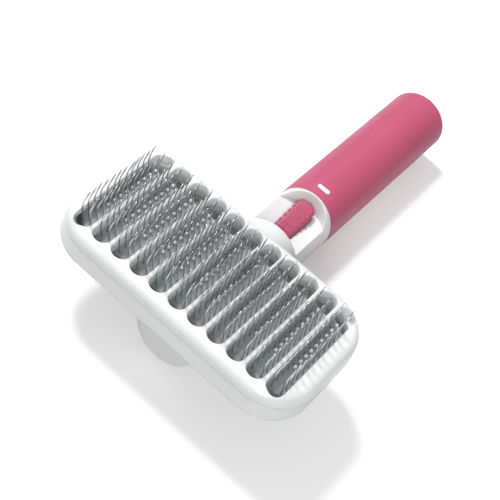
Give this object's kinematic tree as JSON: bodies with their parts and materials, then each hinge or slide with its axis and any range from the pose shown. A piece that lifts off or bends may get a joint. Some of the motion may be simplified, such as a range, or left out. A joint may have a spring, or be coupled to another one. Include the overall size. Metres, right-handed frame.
{
  "type": "slicker brush",
  "caption": "Self-cleaning slicker brush: bent wire pins through a slotted lifting plate, finger slide in the neck, round grip handle.",
  "frame": {"origin": "on the flat rest pad of the back cover, under the centre of the head's slotted face", "axes": "+Z the way the pins point, +Y from the head towards the end of the handle, X along the long side of the head"},
  "size_m": [0.1062, 0.1855, 0.0502],
  "materials": {
    "white_plastic": "smooth glossy moulded ABS",
    "pink_plastic": "satin soft-touch pink",
    "grey_plastic": "plain moulded acetal",
    "grey_rubber": "matte grey rubber cushion",
    "steel_wire": "drawn stainless wire",
    "white_bead": "glossy moulded beads",
    "screw_steel": "zinc-plated steel"
  },
  "bodies": {
    "handle": {"spine_housing": "white_plastic", "head_tray": "white_plastic", "back_cover": "white_plastic", "grip_sleeve": "pink_plastic", "pin_bed_base": "grey_plastic", "pin_cushion": "grey_rubber", "pin_staples_edge": "steel_wire", "pin_staples_inner": "steel_wire", "ball_pins": "steel_wire", "ball_tips": "white_bead", "spring_bulkhead": "grey_plastic", "tail_guide": "grey_plastic", "return_spring": "steel_wire", "tray_screws": "screw_steel", "bed_screws": "screw_steel", "cover_screws": "screw_steel"},
    "cleaning_plate": {"face_plate": "white_plastic", "lift_blades": "white_plastic", "cam_pegs": "steel_wire"},
    "slide": {"cam_carriage": "grey_plastic", "finger_slide": "pink_plastic", "slide_screw": "screw_steel"}
  },
  "joints": [
    {"name": "finger_slide_push", "type": "slide", "parent": "handle", "child": "slide", "axis": [0, -1, 0], "range_m": [0, 0.0075], "stiffness_N_per_m": 300, "springref_m": -0.003, "deforming": ["return_spring"]},
    {"name": "plate_lift", "type": "slide", "parent": "handle", "child": "cleaning_plate", "axis": [0, 0, 1], "range_m": [0, 0.0075]}
  ],
  "couplings": [
    {"joint": "plate_lift", "follows": "finger_slide_push", "ratio": 1}
  ]
}
